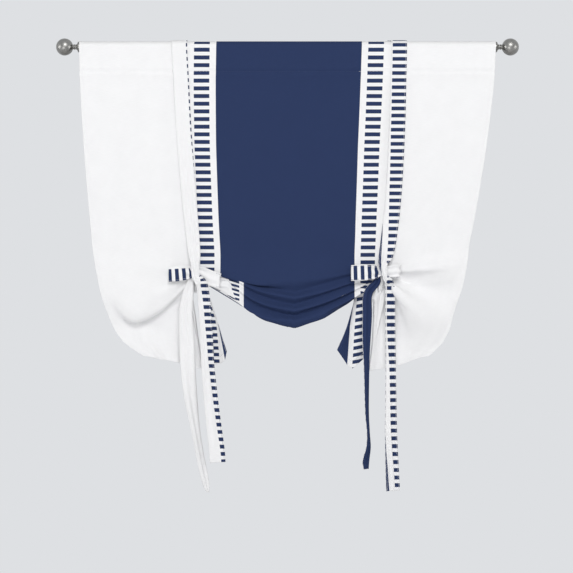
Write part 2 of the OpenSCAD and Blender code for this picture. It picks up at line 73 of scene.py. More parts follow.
# Gathered part of the panel
gather_drop = 0.590
pinch_h = 0.086
swag_h = 0.196
tail_h = 0.294
fold_depth = 0.024
pleat_depth = 0.007
pleat_pitch = 0.072
ripple_depth = 0.002
ripple_pitch = 0.290
knot_x = 0.260
draw_in_share = 0.92
knot_flat = knot_x / draw_in_share
knot_drop = gather_drop + pinch_h / 2
knot_z = pole_z - knot_drop
slot_half = 0.012
slot_blend = 0.004
slot_spread_share = 0.6
pinch_power = 2.6
narrow_power = 1.5
shift_power = 0.7
swag_middle = 0.021
swag_point = 0.007
swag_point_w = 0.045
edge_turn = 0.050
turn_up = 0.013
turn_up_shares = [0.35, 1, 0.55]
tuck_in_depth = 0.012
turn_back = 0.090

# Key rows of the folds, from their start down to the hem. Depths are shares of fold_depth, and drops are
# shares of swag_h at the centre, of pinch_h at the knot and the slot, and of tail_h elsewhere.
centre_depth_shares = [0, 0.55, 0.1, 0.7, 0.22, 0.85, 0.3, 0.95, 0.4, -0.35, -0.5]
centre_drop_shares = [0, 0.33, 0.47, 0.55, 0.65, 0.73, 0.81, 0.89, 0.975, 0.88, 0.5]
knot_depth_shares = [0.08, 0.16, 0.04, 0.16, 0.04, 0.16, 0.04, 0.16, 0, -0.15, -0.3]
knot_drop_shares = [0, 0.26, 0.34, 0.42, 0.5, 0.58, 0.66, 0.74, 0.83, 0.76, 0.6]
tail_depth_shares = [0.05, 0.08, 0.12]
tail_drop_shares = [0.3, 0.7, 1.1]
slot_depth_shares = [0, -0.05, -0.05]
slot_drop_shares = [0.83, 0.9, 0.96]
edge_depth_shares = [0, 0.15, 0.3, 0.4, 0.4, 0.35, 0.25, 0.15, 0.08, 0, 0]
edge_drop_shares = [-0.1, 0, 0.1, 0.2, 0.31, 0.4, 0.49, 0.585, 0.67, 0.8, 0.945]
upper_shares = [0, 0.14, 0.32, 0.52, 0.72, 0.88]
fold_rows = len(centre_drop_shares)
first_tail_row = fold_rows - len(tail_drop_shares)

# What differs between the two sides: the lobe, its width, how far the swag's rows shift inwards, and the
# loose flap inside the knot, whose three rows are given at five places in the flat cloth.
# A turn place is its place out, drop and depth share, and fan folds are their count, turn in degrees,
# depth and first angle.
sides = {
    LEFT: {
        "lobe_depth_shares": [0.1, 0.5, 0.78, 0.98, 1.05, 0.85, 0.35, -0.25, -0.65, -0.45, 0],
        "lobe_drop_shares": [0, 0.17, 0.31, 0.44, 0.555, 0.635, 0.665, 0.63, 0.6, 0.75, 0.97],
        "spread_shares": [0.95, 0.935, 0.92, 0.9, 0.88, 0.855, 0.825, 0.79, 0.755, 0.67, 0.47],
        "edge_start_share": 0.62,
        "swag_powers": [2.7, 2.7, 2.2, 2.8, 2.4, 3.0, 2.6, 4.3, 2.8, 2.8, 2.8],
        "shifts": [0] * 2 + [0.082] * 7 + [0.0656, 0.0492],
        "flap_places": [0.1986, 0.204, 0.222, 0.266, 0.2826],
        "flap_out": [
            [0.228, 0.2282, 0.2295, 0.248, 0.26],
            [0.190, 0.1915, 0.197, 0.238, 0.26],
            [0.1694, 0.175, 0.1896, 0.228, 0.26],
        ],
        "flap_drop_shares": [[0.27] * 5, [0.68] * 5, [0.894, 0.981, 1.016, 1.04, 1]],
        "flap_depth_shares": [[-0.55] * 5, [0.08] * 5, [0.12] * 5],
        "turn_place": [0.235, 0.038, -0.8],
        "tuck_in_rise": 0.012,
        "lobe_shifts": [0.018, 0.032, 0.045],
        "pleat_share": 0.55,
        "fan_folds": [8, 30, 0.0022, -40],
        "print_rise": 1.19,
        "print_slant": 0,
    },
    RIGHT: {
        "lobe_depth_shares": [0.1, 0.45, 0.2, 0.6, 0.5, 0.7, 0.55, 0.35, 0.2, 0.1, 0],
        "lobe_drop_shares": [0, 0.1, 0.21, 0.33, 0.44, 0.54, 0.63, 0.72, 0.83, 0.94, 1.03],
        "spread_shares": [0.825, 0.815, 0.8, 0.78, 0.755, 0.725, 0.695, 0.67, 0.65, 0.59, 0.45],
        "edge_start_share": 0.3,
        "swag_powers": [1.6, 1.6, 1.2, 1.6, 1.2, 1.6, 1.2, 1.6, 1.55, 1.6, 1.6],
        "shifts": [0] * 11,
        "flap_places": [0.160, 0.204, 0.222, 0.266, 0.2826],
        "flap_out": [
            [0.188, 0.190, 0.199, 0.222, 0.26],
            [0.169, 0.175, 0.188, 0.214, 0.26],
            [0.139, 0.168, 0.181, 0.213, 0.26],
        ],
        "flap_drop_shares": [
            [0.40, 0.33, 0.28, 0.22, 0.2],
            [0.64, 0.67, 0.68, 0.68, 0.68],
            [0.886, 1.03, 1.063, 0.97, 0.95],
        ],
        "flap_depth_shares": [[-1.1, -1.1, -0.85, -0.55, -0.55], [0.08] * 5, [0.12] * 5],
        "turn_place": [0.215, 0.038, -1.5],
        "tuck_in_rise": 0.002,
        "lobe_shifts": [0.045, 0.050, 0.058],
        "pleat_share": 0.3,
        "fan_folds": [6, 48, 0.018, -16],
        "print_rise": 1.135,
        "print_slant": 0.2,
    },
}

# Tuck at the left end of the swag: the cloth above hangs over the first crease, in shares of swag_h
tuck_places = [0, 0.05, 0.10, 0.137, 0.157, 0.204, 0.24, 0.266, 0.2826]
tuck_over_shares = [0.33, 0.357, 0.378, 0.339, 0.32, 0.258, 0.214, 0.165, 0.114]
tuck_under_shares = [0.49, 0.469, 0.423, 0.395, 0.375, 0.327, 0.26, 0.2, 0.149]
tuck_depth_share = 0.3
tuck_reach = [0.08, 0.16, 0.258, 0.278]

# Fine shape of the cloth. A soft wave is its depth, its pitches across and down, and its phase. The numbers
# of a reach are where an effect starts, is full, starts to end and has ended.
soft_wave_table = [(0.0007, 0.23, 0.71, 0.4), (0.0005, 0.131, -0.43, 1.3), (0.00025, 0.071, 0.19, 2.1)]
wave_blend = 0.15
pucker_depth = 0.0005
pucker_pitch = 0.031
pucker_reach = 0.022
seam_reach = 0.017
seam_ridge = 0.0035
fan_reach = [0.02, 0.08, 0.15, 0.29]
fan_turn = 16
fan_gap = 0.008
fan_blend = 0.03
side_calm = 0.05
side_hem_blend = 0.001
hem_blend = 0.004
crease_rows = [2.5, 3, 8, 8.5]
crease_start = 0.12
crease_blend = 0.03

# Mesh of the panel: columns across, and steps between key rows
panel_columns = 252
turn_steps = 5
wrap_steps = 14
upper_steps = 7
seam_rows = 11
seam_row_gap = 0.03
fold_steps = 12
knot_spread = 0.035
turn_spread = 0.022

# Ties
tie_w = 0.044
tie_t = 0.0014
tie_tail = 0.610
tie_top_x = 0.303
front_top_x = {LEFT: -tie_top_x, RIGHT: 0.3126}
front_knot_x = {LEFT: -knot_x, RIGHT: 0.268}
tie_lift = 0.0024
run_lift = 0.004
run_narrow_share = 0.8
back_gap = 0.012
bow_depth = 0.028
tail_depth_share = 0.72
tie_steps = 12
tie_columns = 13
wrap_shares = [0.02, 0.33, 0.67]
run_shares = [0, 0.02, 0.06, 0.16, 0.4, 0.7, 0.9]
front_run_in_shares = {
    LEFT: [0, 0.01, 0.04, 0.12, 0.3, 0.62, 0.88],
    RIGHT: [0, 0, 0.01, 0.047, 0.13, 0.35, 0.637],
}
front_run_width_shares = {LEFT: [1, 1, 1, 1, 0.98, 0.93, 0.84], RIGHT: [1] * 7}
tie_crease_limit = 0.0025
tie_crown = 0.0006

# Print of the cloth, measured from the middle of the panel: a navy field, a bare border and a dashed band
field_half = 0.204
band_start = 0.222
band_end = 0.266
dash_pitch = 0.0218
dash_share = 0.53
dash_rise = 0.0063
dash_gain = 0.037
drift_drops = [0, 0.123, 0.307, 0.5, 0.6]
drift = [0.005, 0.0019, -0.0014, -0.0012, 0]
tie_print_share = 0.91
plain_place = 0.300
navy_place = 0.170
ink_bleed = 0.0004
back_ink_share = 0.16
flap_print_row = 7.2
swag_print_rise = 1.82
swag_print_slant = 0.3
swag_band_rows = [4.6, 5.6, 6.5, 7.2, 8, 8.4]
swag_band_squeezes = [0, 0.35, 0.5, 2.5, 2.5, 0]

# Print of a front tie as it falls: where in the print its dashed edge lies, and a shift along the print
front_print = {
    LEFT: {
        "way": -1,
        "drops": [0, 0.25, 0.38, 0.648, 0.662, 0.75, 0.90, 1.2],
        "places": [0.262, 0.262, 0.267, 0.267, 0.244, 0.244, 0.2488, 0.2535],
        "starts": [0.0122] * 4 + [0.021, 0.0178, 0.0122, 0.0012],
    },
    RIGHT: {
        "way": 1,
        "drops": [0, 0.307, 0.413, 0.47, 0.531, 0.589, 0.611, 0.644, 0.66, 0.80, 0.90, 1.08, 1.22],
        "places": [
            0.218, 0.217, 0.2115, 0.2075, 0.2003, 0.1963, 0.1948, 0.2055, 0.217, 0.217,
            0.2103, 0.2043, 0.1933,
        ],
        "starts": [0.0122] * 8 + [0.011, 0.0063, 0.0012, -0.011, -0.0255],
    },
}
stripe_places = {LEFT: 0.252, RIGHT: 0.244}


def colour(red, green, blue):
    """A display colour from 0 to 255, as a shader's linear values."""
    linear = [((c / 255 + 0.055) / 1.055) ** 2.4 for c in (red, green, blue)]
    return (*linear, 1)


white_cloth = colour(243, 243, 244)
navy_ink = colour(41, 55, 91)
backdrop = colour(222, 224, 227)


# Shapes shared by the cloth pieces

def mix(a, b, t):
    return a + (b - a) * t


def ease(t):
    t = np.clip(t, 0, 1)
    return t * t * (3 - 2 * t)


def between(value, starts, begun, ends, ended):
    """0 before starts, 1 from begun to ends, and 0 after ended, with soft steps."""
    return ease((value - starts) / (begun - starts)) * (1 - ease((value - ends) / (ended - ends)))


def bell(x):
    return np.exp(-x * x)


def stacked(*parts):
    return np.stack(np.broadcast_arrays(*parts), axis=-1)


def unit(vectors):
    return vectors / np.linalg.norm(vectors, axis=-1, keepdims=True)


def spline(keys, t, taut=None):
    """Points at t, counted in keys, on a smooth curve. A value for taut keeps it close to uneven keys."""
    steps = np.diff(keys, axis=-2)
    none = np.zeros_like(keys[..., :1, :])
    before = np.concatenate([none, steps], axis=-2)
    after = np.concatenate([steps, none], axis=-2)
    pull = (before + after) / 2
    if taut:
        shortest = np.minimum(np.linalg.norm(before, axis=-1), np.linalg.norm(after, axis=-1))
        length = np.maximum(np.linalg.norm(pull, axis=-1), 1e-9)
        pull = pull * np.minimum(1, taut * shortest / length)[..., None]
        turns_back = before[..., 0] * after[..., 0] <= 0
        sideways = taut * np.minimum(np.abs(before[..., 0]), np.abs(after[..., 0]))
        pull[..., 0] = np.where(turns_back, 0, np.clip(pull[..., 0], -sideways, sideways))
    i = np.clip(np.floor(t).astype(int), 0, keys.shape[-2] - 2)
    f = (t - i)[:, None]
    start = keys[..., i, :] * (1 + 2 * f) * (1 - f) ** 2 + pull[..., i, :] * f * (1 - f) ** 2
    return start + keys[..., i + 1, :] * f * f * (3 - 2 * f) - pull[..., i + 1, :] * f * f * (1 - f)


def grid_out(grid):
    """Directions out of the front of a grid of points, counted across and then along."""
    across = np.gradient(grid, axis=0)
    along = np.gradient(grid, axis=1)
    return unit(np.cross(along, across))


def cloth_piece(name, grid, thickness, front_place, back_place, material):
    """A closed sheet on a grid of points, with its place in the flat print as a UV map."""
    out = grid_out(grid)
    half = np.asarray(thickness)[..., None] / 2
    points = np.concatenate([(grid + out * half).reshape(-1, 3), (grid - out * half).reshape(-1, 3)])
    places = np.concatenate([front_place.reshape(-1, 2), back_place.reshape(-1, 2)])
    m, n = grid.shape[:2]
    at = np.arange(m * n).reshape(m, n)
    front = stacked(at[:-1, :-1], at[:-1, 1:], at[1:, 1:], at[1:, :-1]).reshape(-1, 4)
    back = front[:, ::-1] + m * n
    rim = np.concatenate([at[:-1, 0], at[-1, :-1], at[:0:-1, -1], at[0, :0:-1]])
    ahead = np.roll(rim, -1)
    edge = stacked(rim, ahead, ahead + m * n, rim + m * n)
    faces = np.concatenate([front, back, edge])
    piece = mesh_object(name, points.tolist(), faces.tolist(), material)
    print_map = piece.data.uv_layers.new(name="flat_cloth")
    print_map.data.foreach_set("uv", places[faces.ravel()].ravel())
    return piece


def add_object(name, data):
    made = bpy.data.objects.new(name, data)
    bpy.context.scene.collection.objects.link(made)
    return made


def mesh_object(name, points, faces, material):
    mesh = bpy.data.meshes.new(name)
    mesh.from_pydata(points, [], faces)
    mesh.shade_smooth()
    mesh.materials.append(material)
    return add_object(name, mesh)


# Materials

bump_depth = 0.0002


def feed(tree, socket, value):
    """Joins a socket to another node's output, or sets it to a value."""
    if isinstance(value, bpy.types.NodeSocket):
        tree.links.new(value, socket)
    else:
        socket.default_value = value


def add_node(tree, kind, given=None, **settings):
    """Adds a node with its settings, feeds the inputs that are given and returns its outputs."""
    node = tree.nodes.new(kind)
    for key, value in settings.items():
        setattr(node, key, value)
    for socket, value in (given or {}).items():
        feed(tree, node.inputs[socket], value)
    return node.outputs


def maths(tree, operation, *values):
    return add_node(tree, "ShaderNodeMath", dict(enumerate(values)), operation=operation)[0]


def swing(tree, value, amount):
    """Turns a value between 0 and 1 into one that swings about 0."""
    return maths(tree, "MULTIPLY_ADD", value, amount, -amount / 2)


def axes_of(tree, place):
    return add_node(tree, "ShaderNodeSeparateXYZ", {0: place})


def noise(tree, place, scale, detail=2):
    given = {"Vector": place, "Scale": scale, "Detail": detail}
    return add_node(tree, "ShaderNodeTexNoise", given)["Fac"]


def soft_step(tree, value, low, high):
    given = {"Value": value, "From Min": low, "From Max": high}
    return add_node(tree, "ShaderNodeMapRange", given, interpolation_type="SMOOTHSTEP")["Result"]


def edge_mask(tree, value, edge, softness):
    """0 below the edge and 1 above it, with a soft step between."""
    return soft_step(tree, value, maths(tree, "SUBTRACT", edge, softness), maths(tree, "ADD", edge, softness))


def mix_colours(tree, factor, first, second):
    given = {"Factor": factor, "A": first, "B": second}
    return add_node(tree, "ShaderNodeMix", given, data_type="RGBA")["Result"]


def mix_shaders(tree, factor, first, second):
    return add_node(tree, "ShaderNodeMixShader", {0: factor, 1: first, 2: second})[0]


def add_socket(tree, in_out, name, kind):
    return tree.interface.new_socket(name, in_out=in_out, socket_type="NodeSocket" + kind)


def effect_group(name, numbers, outputs):
    """An empty shader group that takes a place and named numbers, and puts out numbers."""
    group = bpy.data.node_groups.new(name, "ShaderNodeTree")
    add_socket(group, "INPUT", "Place", "Vector")
    for number, usual in numbers.items():
        add_socket(group, "INPUT", number, "Float").default_value = usual
    for output in outputs:
        add_socket(group, "OUTPUT", output, "Float")
    return group, add_node(group, "NodeGroupInput"), group.nodes.new("NodeGroupOutput").inputs


def stripe_print_group():
    """Where ink lies on the cloth: the field, and dashes in the band beside it."""
    numbers = {
        "Field edge": field_half, "Band start": band_start, "Band end": band_end,
        "Dash pitch": dash_pitch, "Dash share": dash_share, "Bleed": ink_bleed,
    }
    group, given, result = effect_group("stripe print", numbers, ["Ink"])
    place = axes_of(group, given["Place"])
    off_centre = maths(group, "ABSOLUTE", place["X"])
    bleed = given["Bleed"]
    past_field, past_start, past_end = [
        edge_mask(group, off_centre, given[edge], bleed) for edge in ("Field edge", "Band start", "Band end")
    ]
    field = maths(group, "SUBTRACT", 1.0, past_field)
    band = maths(group, "SUBTRACT", past_start, past_end)
    step = maths(group, "DIVIDE", place["Y"], given["Dash pitch"])
    from_dash = maths(group, "ABSOLUTE", maths(group, "SUBTRACT", maths(group, "FRACT", step), 0.5))
    bleed_share = maths(group, "DIVIDE", bleed, given["Dash pitch"])
    dash_edge = maths(group, "MULTIPLY_ADD", given["Dash share"], -0.5, 0.5)
    in_dash = edge_mask(group, from_dash, dash_edge, bleed_share)
    feed(group, result["Ink"], maths(group, "MULTIPLY_ADD", band, in_dash, field))
    return group


def weave_group():
    """Threads of a plain weave, with slubs and uneven dye."""
    group, given, result = effect_group("plain weave", {"Thread pitch": 0.0011}, ["Height", "Tone"])
    place = axes_of(group, given["Place"])
    turns = maths(group, "DIVIDE", TURN, given["Thread pitch"])
    warp, weft = [maths(group, "SINE", maths(group, "MULTIPLY", place[axis], turns)) for axis in "XY"]
    threads = maths(group, "MULTIPLY", warp, weft)
    stretch = add_node(group, "ShaderNodeMapping", {"Vector": given["Place"], "Scale": (60, 900, 1)})
    slubs = noise(group, stretch["Vector"], 1)
    cloud = noise(group, given["Place"], 22)
    uneven = maths(group, "ADD", swing(group, slubs, 0.10), swing(group, cloud, 0.05))
    feed(group, result["Height"], maths(group, "ADD", threads, slubs))
    feed(group, result["Tone"], maths(group, "ADD", 1.0, uneven))
    return group


def brushed_metal_group():
    """Turning marks round the pole's line, and the cloudy tarnish of worn plating."""
    group, given, result = effect_group("brushed metal", {"Marks": 1400.0}, ["Height", "Tone", "Roughness"])
    along = maths(group, "MULTIPLY", axes_of(group, given["Place"])["X"], given["Marks"])
    rings = add_node(group, "ShaderNodeTexNoise", {"W": along, "Scale": 1}, noise_dimensions="1D")["Fac"]
    cloudy = swing(group, noise(group, given["Place"], 85, detail=5), 0.9)
    uneven = maths(group, "ADD", cloudy, swing(group, rings, 0.25))
    feed(group, result["Height"], rings)
    feed(group, result["Tone"], maths(group, "ADD", 1.0, uneven))
    feed(group, result["Roughness"], maths(group, "MULTIPLY_ADD", cloudy, -0.35, 0.30))
    return group


def new_material(name):
    material = bpy.data.materials.new(name)
    material.use_nodes = True
    tree = material.node_tree
    return material, tree, tree.nodes["Principled BSDF"].inputs


def object_place(tree):
    return add_node(tree, "ShaderNodeTexCoord")["Object"]


def place_group(tree, group, place):
    return add_node(tree, "ShaderNodeGroup", {"Place": place}, node_tree=group)


def tinted(tree, base, tone):
    """A colour made lighter or darker by a tone about 1."""
    plain = base if isinstance(base, bpy.types.NodeSocket) else base[:3]
    return add_node(tree, "ShaderNodeVectorMath", {0: plain, "Scale": tone}, operation="SCALE")[0]


def bump(tree, height, strength):
    given = {"Height": height, "Strength": strength, "Distance": bump_depth}
    return add_node(tree, "ShaderNodeBump", given)["Normal"]


def printed_cloth(name, ink_share):
    """Matt woven cloth, with ink_share of the print's ink on it."""
    material, tree, shader = new_material(name)
    flat = add_node(tree, "ShaderNodeUVMap", uv_map="flat_cloth")["UV"]
    ink = maths(tree, "MULTIPLY", place_group(tree, stripe_print, flat)["Ink"], ink_share)
    weave = place_group(tree, plain_weave, flat)
    printed = mix_colours(tree, ink, white_cloth, navy_ink)
    feed(tree, shader["Base Color"], tinted(tree, printed, weave["Tone"]))
    feed(tree, shader["Normal"], bump(tree, weave["Height"], 0.5))
    shader["Roughness"].default_value = 0.82
    shader["Specular IOR Level"].default_value = 0.15
    return material


def plated_metal(name, base):
    material, tree, shader = new_material(name)
    brushed = place_group(tree, brushed_metal, object_place(tree))
    feed(tree, shader["Base Color"], tinted(tree, base, brushed["Tone"]))
    feed(tree, shader["Roughness"], brushed["Roughness"])
    feed(tree, shader["Normal"], bump(tree, brushed["Height"], 0.25))
    shader["Metallic"].default_value = 1
    return material


def moulded_plastic(name, base):
    material, tree, shader = new_material(name)
    grain = noise(tree, object_place(tree), 900)
    tone = maths(tree, "MULTIPLY_ADD", grain, 0.3, 0.85)
    feed(tree, shader["Base Color"], tinted(tree, base, tone))
    feed(tree, shader["Normal"], bump(tree, grain, 0.3))
    shader["Roughness"].default_value = 0.55
    return material


def sewing_thread(name, base):
    """Thread in one colour, but navy across the printed field."""
    material, tree, shader = new_material(name)
    place = object_place(tree)
    tone = maths(tree, "MULTIPLY_ADD", noise(tree, place, 2500), 0.15, 0.9)
    off_centre = maths(tree, "ABSOLUTE", axes_of(tree, place)["X"])
    dyed = mix_colours(tree, edge_mask(tree, off_centre, field_half - 0.004, 0.001), navy_ink, base)
    feed(tree, shader["Base Color"], tinted(tree, dyed, tone))
    shader["Roughness"].default_value = 0.6
    return material


stripe_print = stripe_print_group()
plain_weave = weave_group()
brushed_metal = brushed_metal_group()
panel_front = printed_cloth("printed panel front", 1.0)
panel_back = printed_cloth("printed panel back", back_ink_share)
tie_cloth = printed_cloth("printed tie", 1.0)
nickel = plated_metal("brushed nickel", colour(146, 145, 142))
zinc = plated_metal("zinc plate", colour(150, 152, 156))
plug_plastic = moulded_plastic("moulded plug", colour(60, 60, 63))
white_thread = sewing_thread("white thread", white_cloth)
navy_thread = sewing_thread("navy thread", navy_ink)


# The panel's hanging shape

def lobe_weights(flat_x, edge_start):
    """Shares of knot, lobe and edge in a column that lies beyond the knot."""
    r = np.clip((np.abs(flat_x) - knot_flat) / (half_w - knot_flat), 0, 1)
    knot = (1 - r) ** pinch_power
    edge = ease((r - edge_start) / (1 - edge_start))
    return knot, 1 - knot - edge, edge


def slot_amount(flat_x):
    past = np.abs(flat_x) - knot_flat
    away = np.where(past > 0, past * slot_spread_share, -past)
    return 1 - ease((away - slot_half) / slot_blend)


def ripple(flat_x, share):
    return ripple_depth * share * (1 + np.sin(TURN * flat_x / ripple_pitch)) / 2


def key_rows(depth_shares, drop_shares, height):
    return stacked(np.array(depth_shares) * fold_depth, np.array(drop_shares) * height)


def swag_keys(flat_x, its):
    """Key rows between the knots: depth and drop, and the place out from the middle."""
    centre = key_rows(centre_depth_shares, centre_drop_shares, swag_h)
    knot = key_rows(knot_depth_shares, knot_drop_shares, pinch_h)
    near = np.clip(np.abs(flat_x) / knot_flat, 0, 1)
    from_middle = np.abs(flat_x - swag_middle * (1 - near * near)) / knot_flat
    knot_w = np.clip(from_middle, 0, 1)[:, None] ** np.array(its["swag_powers"])
    hung = mix(centre, knot, knot_w[..., None])
    pointed = swag_point * np.exp(-np.abs(flat_x - swag_middle) / swag_point_w)
    hung[:, 2:first_tail_row + 1, 1] += pointed[:, None]
    shift = np.array(its["shifts"]) * near[:, None] ** shift_power
    return hung, np.abs(flat_x)[:, None] * draw_in_share - shift


def add_tuck(hung, flat_x):
    """Hangs the cloth above the left end of the swag over its first crease."""
    away = np.abs(flat_x)
    hung[:, 1, 1] = np.interp(away, tuck_places, tuck_over_shares) * swag_h
    hung[:, 2, 1] = np.interp(away, tuck_places, tuck_under_shares) * swag_h
    hung[:, 2, 0] -= tuck_depth_share * fold_depth * between(away, *tuck_reach)


def add_flap(hung, out, flat_x, its):
    """Lets the last rows beside the knot hang free, and takes them up behind the swag past the flap."""
    away = np.abs(flat_x)
    past_flap = its["flap_places"][0] - away
    depth, drop, place = [
        stacked(*[np.interp(away, its["flap_places"], row) for row in its[table]])
        for table in ("flap_depth_shares", "flap_drop_shares", "flap_out")
    ]
    flap = stacked(depth * fold_depth, drop * tail_h, place)
    turn_out, turn_drop, turn_depth_share = its["turn_place"]
    turned = np.array([turn_depth_share * fold_depth, turn_drop, turn_out])
    loose = slice(first_tail_row, None)
    swag = np.concatenate([hung[:, loose], out[:, loose, None]], axis=-1)
    up = ease(past_flap[:, None, None] / (turn_up * np.array(turn_up_shares)))
    behind = ease((past_flap - turn_up) / turn_back)[:, None, None]
    hanging = mix(mix(flap, turned, up), swag, behind)
    along_edge = ease(past_flap / edge_turn)[:, None]
    tucked_in = 4 * along_edge * (1 - along_edge) * np.array([tuck_in_depth, its["tuck_in_rise"], 0])
    hanging[:, 0] = mix(flap[:, 0], swag[:, 0], along_edge) - tucked_in
    hung[:, loose] = hanging[..., :2]
    out[:, loose] = hanging[..., 2]
    return 1 - up[:, 0, 1:2]


def fold_keys(flat_x, side):
    """Key rows of the gathered cloth for the columns of one side: place, depth and drop."""
    its = sides[side]
    knot = key_rows(knot_depth_shares, knot_drop_shares, pinch_h)
    edge = key_rows(edge_depth_shares, edge_drop_shares, tail_h)
    lobe = key_rows(its["lobe_depth_shares"], its["lobe_drop_shares"], tail_h)
    tail = knot.copy()
    tail[first_tail_row:] = key_rows(tail_depth_shares, tail_drop_shares, tail_h)
    slot = knot.copy()
    slot[first_tail_row:] = key_rows(slot_depth_shares, slot_drop_shares, pinch_h)

    x = flat_x[:, None]
    rows = np.arange(fold_rows)[None, :]
    past = np.abs(x) - knot_flat
    loose = rows >= first_tail_row
    knot_w, lobe_w, edge_w = lobe_weights(x, its["edge_start_share"])
    slot_w = slot_amount(x)

    inner, inner_out = swag_keys(flat_x, its)
    if side == LEFT:
        add_tuck(inner, flat_x)
    flap_w = add_flap(inner, inner_out, flat_x, its)
    outer = tail * knot_w[..., None] + lobe * lobe_w[..., None] + edge * edge_w[..., None]
    lobe_shifts = np.zeros(fold_rows)
    lobe_shifts[first_tail_row:] = its["lobe_shifts"]
    outer_out = knot_x + past * np.array(its["spread_shares"]) - lobe_shifts * knot_w
    hung = np.where(past[..., None] > 0, outer, inner)
    hung = mix(hung, slot, (loose * slot_w)[..., None])
    out = np.where(past > 0, outer_out, inner_out)
    out = mix(out, knot_x + past, slot_w * (rows > 0))
    loose_w = np.where(past > 0, np.maximum(knot_w, lobe_w * its["pleat_share"]), flap_w)
    pleat_fall = np.maximum(0, rows - first_tail_row) / (len(tail_drop_shares) - 1)
    pleat = pleat_depth * pleat_fall * loose_w * (1 - slot_w) * np.sin(TURN * x / pleat_pitch)
    depth = hung[..., 0] + pleat + ripple(x, 1)
    return stacked(side * out, depth, gather_drop + hung[..., 1])


def upper_keys(flat_x, first):
    """Key rows of the flat cloth above the first row of the folds."""
    x = flat_x[:, None]
    share = np.array(upper_shares)
    place = mix(x, first[:, 0:1], share ** narrow_power)
    depth = (first[:, 1:2] - ripple(x, 1)) * share ** 3 + ripple(x, share)
    return stacked(place, depth, first[:, 2:3] * share)


def pocket_points(flat_x):
    """The turned-over back of the pocket, up from its seam and over the pole to the front."""
    x = flat_x[:, None]
    narrow = turn_half / half_w
    t = np.arange(turn_steps) / turn_steps
    up_y = mix(hang_y + seam_gap, pole_y + pocket_half, np.sin(TURN / 4 * t))
    up = stacked(x * narrow, up_y, pole_z - seam_drop * (1 - t))
    t = np.arange(wrap_steps) / wrap_steps
    over_y = pole_y + pocket_half * np.cos(TURN / 2 * t)
    over_z = pole_z + pocket_rise * np.sin(TURN / 2 * t)
    over = stacked(x * mix(narrow, 1, ease(2 * t)), over_y, over_z)
    return np.concatenate([up, over], axis=1)


def panel_places():
    """Flat places of the columns, closer together at the knots and the side hems."""
    x = np.linspace(-half_w, half_w, 4001)
    at_knot = bell((np.abs(x) - knot_flat) / knot_spread)
    at_hem = np.abs(x) > half_w - 2 * hem_w
    flap_edge = np.where(x < 0, sides[LEFT]["flap_places"][0], sides[RIGHT]["flap_places"][0])
    at_turn = bell((np.abs(x) - flap_edge + turn_up) / turn_spread)
    density = 1 + 2 * at_knot + 2 * at_hem + 3 * at_turn
    counted = np.cumsum(density)
    wanted = np.linspace(counted[0], counted[-1], panel_columns)
    return np.interp(wanted, counted, x)


def panel_grid(flat_x):
    gathered = np.where((flat_x < 0)[:, None, None], fold_keys(flat_x, LEFT), fold_keys(flat_x, RIGHT))
    keys = np.concatenate([upper_keys(flat_x, gathered[:, 0]), gathered], axis=1)
    upper = len(upper_shares)
    seam_middle = pocket_depth - TURN / 8 * (pocket_half + pocket_rise)
    seam_drops = np.linspace(seam_middle - seam_reach, seam_middle + seam_reach, seam_rows)
    at_seam = np.interp(seam_drops, gather_drop * np.array(upper_shares), np.arange(upper))
    plain = np.arange(upper * upper_steps) / upper_steps
    t = np.concatenate([
        plain[plain < at_seam[0] - seam_row_gap],
        at_seam,
        plain[plain > at_seam[-1] + seam_row_gap],
        upper + np.arange((fold_rows - 1) * fold_steps + 1) / fold_steps,
    ])
    hung = spline(keys, t, taut=1.2)
    hanging = stacked(hung[..., 0], hang_y - hung[..., 1], pole_z - hung[..., 2])
    pocket = pocket_points(flat_x)
    rows = np.concatenate([np.full(pocket.shape[1], -upper), t - upper])
    return np.concatenate([pocket, hanging], axis=1), rows


def length_along(grid):
    """Length of cloth down each column of a grid, to each point."""
    steps = np.linalg.norm(np.diff(grid, axis=1), axis=-1)
    return np.concatenate([np.zeros((len(grid), 1)), np.cumsum(steps, axis=1)], axis=1)


def joined(first, second, share):
    """Goes over to a second measure, moved to agree with the first midway."""
    band = (share > 0.4) & (share < 0.6)
    return mix(first, second + np.median((first - second)[band]), share)


def panel_print(grid, row, x, down):
    """Place across and along the print, which is drawn askew beside the knots."""
    drop = pole_z - grid[..., 2]
    inside = np.abs(x) < knot_flat + slot_half
    swag_print = swag_print_rise * (drop - swag_print_slant * grid[..., 0])
    along = down + dash_rise + dash_gain * down * np.abs(down)
    along = joined(along, swag_print, ease(row - 1) * (x < 0) * inside)
    for side, its in sides.items():
        flap_print = its["print_rise"] * (drop + its["print_slant"] * grid[..., 0])
        on_flap = ease((row - flap_print_row) / (first_tail_row - flap_print_row))
        along = joined(along, flap_print, on_flap * (side * x > 0) * inside)
    squeeze = np.interp(row, swag_band_rows, swag_band_squeezes) * (x < 0) * inside
    across = x - np.interp(down, drift_drops, drift) - squeeze * np.maximum(0, -x - band_start)
    return stacked(across, along)


def knot_pulls(grid, side):
    """Soft folds that fan out from a knot into the lobe beside it."""
    count, turn, depth, start = sides[side]["fan_folds"]
    away = side * (grid[..., 0] - side * knot_x)
    below = knot_z - grid[..., 2]
    angle = np.arctan2(below, away)
    distance = np.hypot(away, below)
    begun = ease((np.degrees(angle) - start) / fan_turn)
    return depth * between(distance, *fan_reach) * begun * np.cos(count * (angle - math.radians(turn)))


